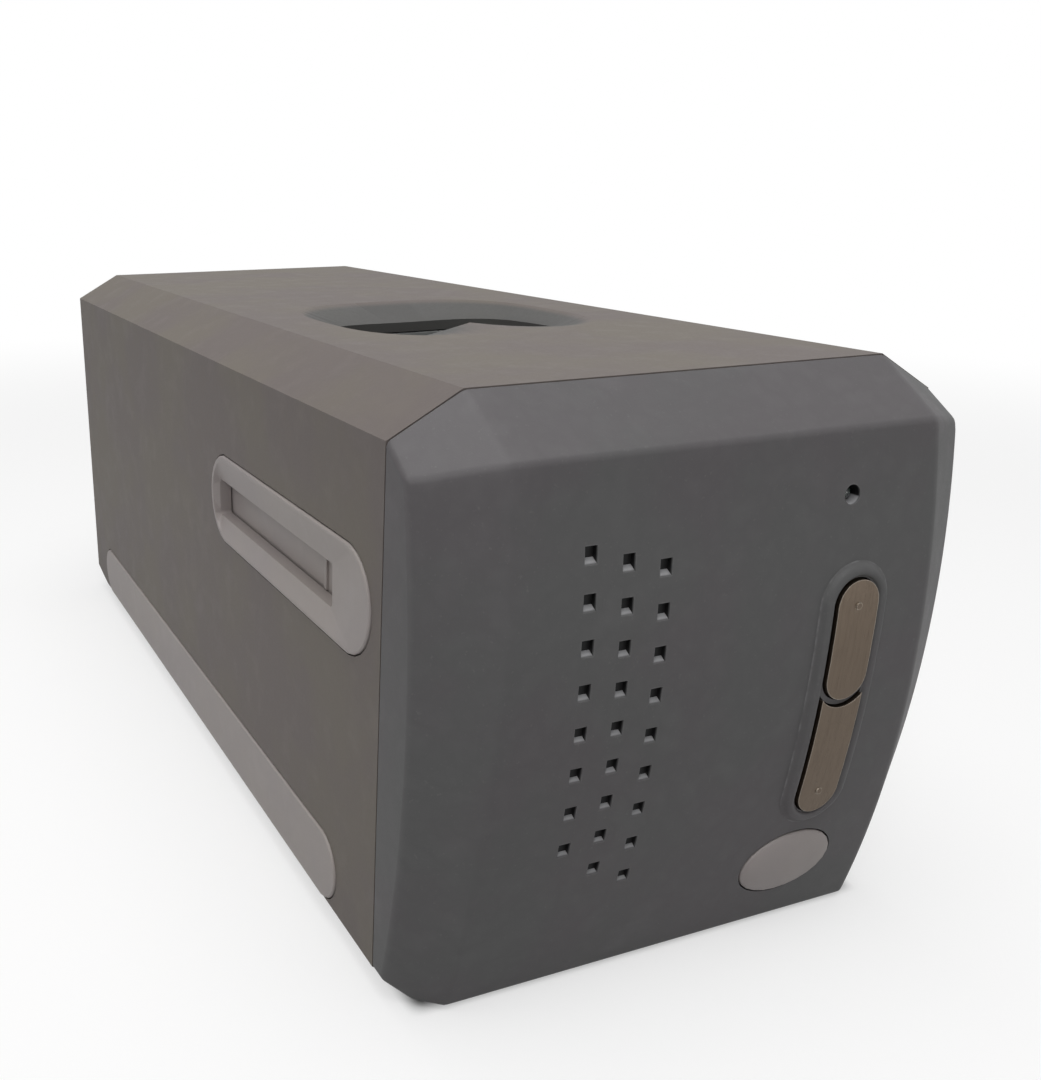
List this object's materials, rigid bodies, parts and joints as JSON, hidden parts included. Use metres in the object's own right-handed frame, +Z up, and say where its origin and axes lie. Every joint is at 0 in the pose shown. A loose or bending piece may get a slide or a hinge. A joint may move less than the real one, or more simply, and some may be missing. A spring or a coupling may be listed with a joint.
{
  "type": "desktop film scanner",
  "caption": "Desktop scanner for film negatives: dark chamfered casing with a carrying well, dished slots with dust flaps on both sides, bulged front with buttons.",
  "frame": {"origin": "on the surface that the feet stand on, under the middle of the casing", "axes": "+X to the machine's right seen from the front, +Y from the front to the back, +Z up"},
  "size_m": [0.1204, 0.272, 0.118],
  "materials": {
    "shell": "satin",
    "front": "satin",
    "trim": "satin",
    "base": "textured",
    "well": "satin",
    "buttons": "brushed",
    "steel": "ground",
    "rubber": "matt",
    "frame": "matt",
    "board": "solder mask",
    "chip": "satin",
    "clear": "clear",
    "mirror": "polished",
    "lamp": "opal",
    "alloy": "satin"
  },
  "bodies": {
    "casing": {"main_shell": "shell", "front_bezel": "front", "base_plate": "base", "rear_panel": "base", "handle_cup": "well", "skid_strip_right": "trim", "skid_strip_left": "trim", "foot_1": "rubber", "foot_2": "rubber", "foot_3": "rubber", "foot_4": "rubber", "slot_bezel_right": "trim", "slot_bezel_left": "trim", "hinge_pin_right": "steel", "hinge_pin_left": "steel", "flap_spring_right": "steel", "flap_spring_left": "steel", "film_tunnel": "frame", "button_surround": "front", "status_light": "clear", "button_board": "board", "upper_scan_switch": "chip", "lower_scan_switch": "chip", "power_switch": "chip", "chassis": "frame", "guide_rod_right": "steel", "guide_rod_left": "steel", "stepper_motor": "alloy", "main_board": "board", "data_socket": "steel", "power_socket": "chip"},
    "flap_right": {"dust_flap_right": "trim"},
    "flap_left": {"dust_flap_left": "trim"},
    "upper_button": {"upper_scan_button": "buttons"},
    "lower_button": {"lower_scan_button": "buttons"},
    "power_key": {"power_button": "trim"},
    "carriage": {"scan_carriage": "frame", "lamp_tube": "lamp", "lamp_diffuser": "lamp", "fold_mirror": "mirror", "lens_barrel": "frame", "front_lens": "clear", "image_sensor": "chip", "sensor_board": "board"},
    "screw": {"lead_screw": "steel"}
  },
  "joints": [
    {"name": "right_flap_swing", "type": "hinge", "parent": "casing", "child": "flap_right", "pos_m": [0.0539, -0.0571, 0.0841], "axis": [0, 1, 0], "range_deg": [0, 80], "stiffness_Nm_per_rad": 0.003},
    {"name": "left_flap_swing", "type": "hinge", "parent": "casing", "child": "flap_left", "pos_m": [-0.0539, -0.0571, 0.0841], "axis": [0, -1, 0], "range_deg": [0, 80], "stiffness_Nm_per_rad": 0.003},
    {"name": "upper_button_press", "type": "slide", "parent": "casing", "child": "upper_button", "axis": [0, 1, 0], "range_m": [0, 0.001], "stiffness_N_per_m": 300},
    {"name": "lower_button_press", "type": "slide", "parent": "casing", "child": "lower_button", "axis": [0, 1, 0], "range_m": [0, 0.001], "stiffness_N_per_m": 300},
    {"name": "power_button_press", "type": "slide", "parent": "casing", "child": "power_key", "axis": [0, 1, 0], "range_m": [0, 0.001], "stiffness_N_per_m": 300},
    {"name": "carriage_slide", "type": "slide", "parent": "casing", "child": "carriage", "axis": [0, 1, 0], "range_m": [0, 0.026]},
    {"name": "screw_turn", "type": "hinge", "parent": "casing", "child": "screw", "pos_m": [0, 0, 0.024], "axis": [0, 1, 0], "range_deg": [0, 740]}
  ],
  "couplings": [
    {"joint": "screw_turn", "follows": "carriage_slide", "rad_per_m": 494.74}
  ]
}
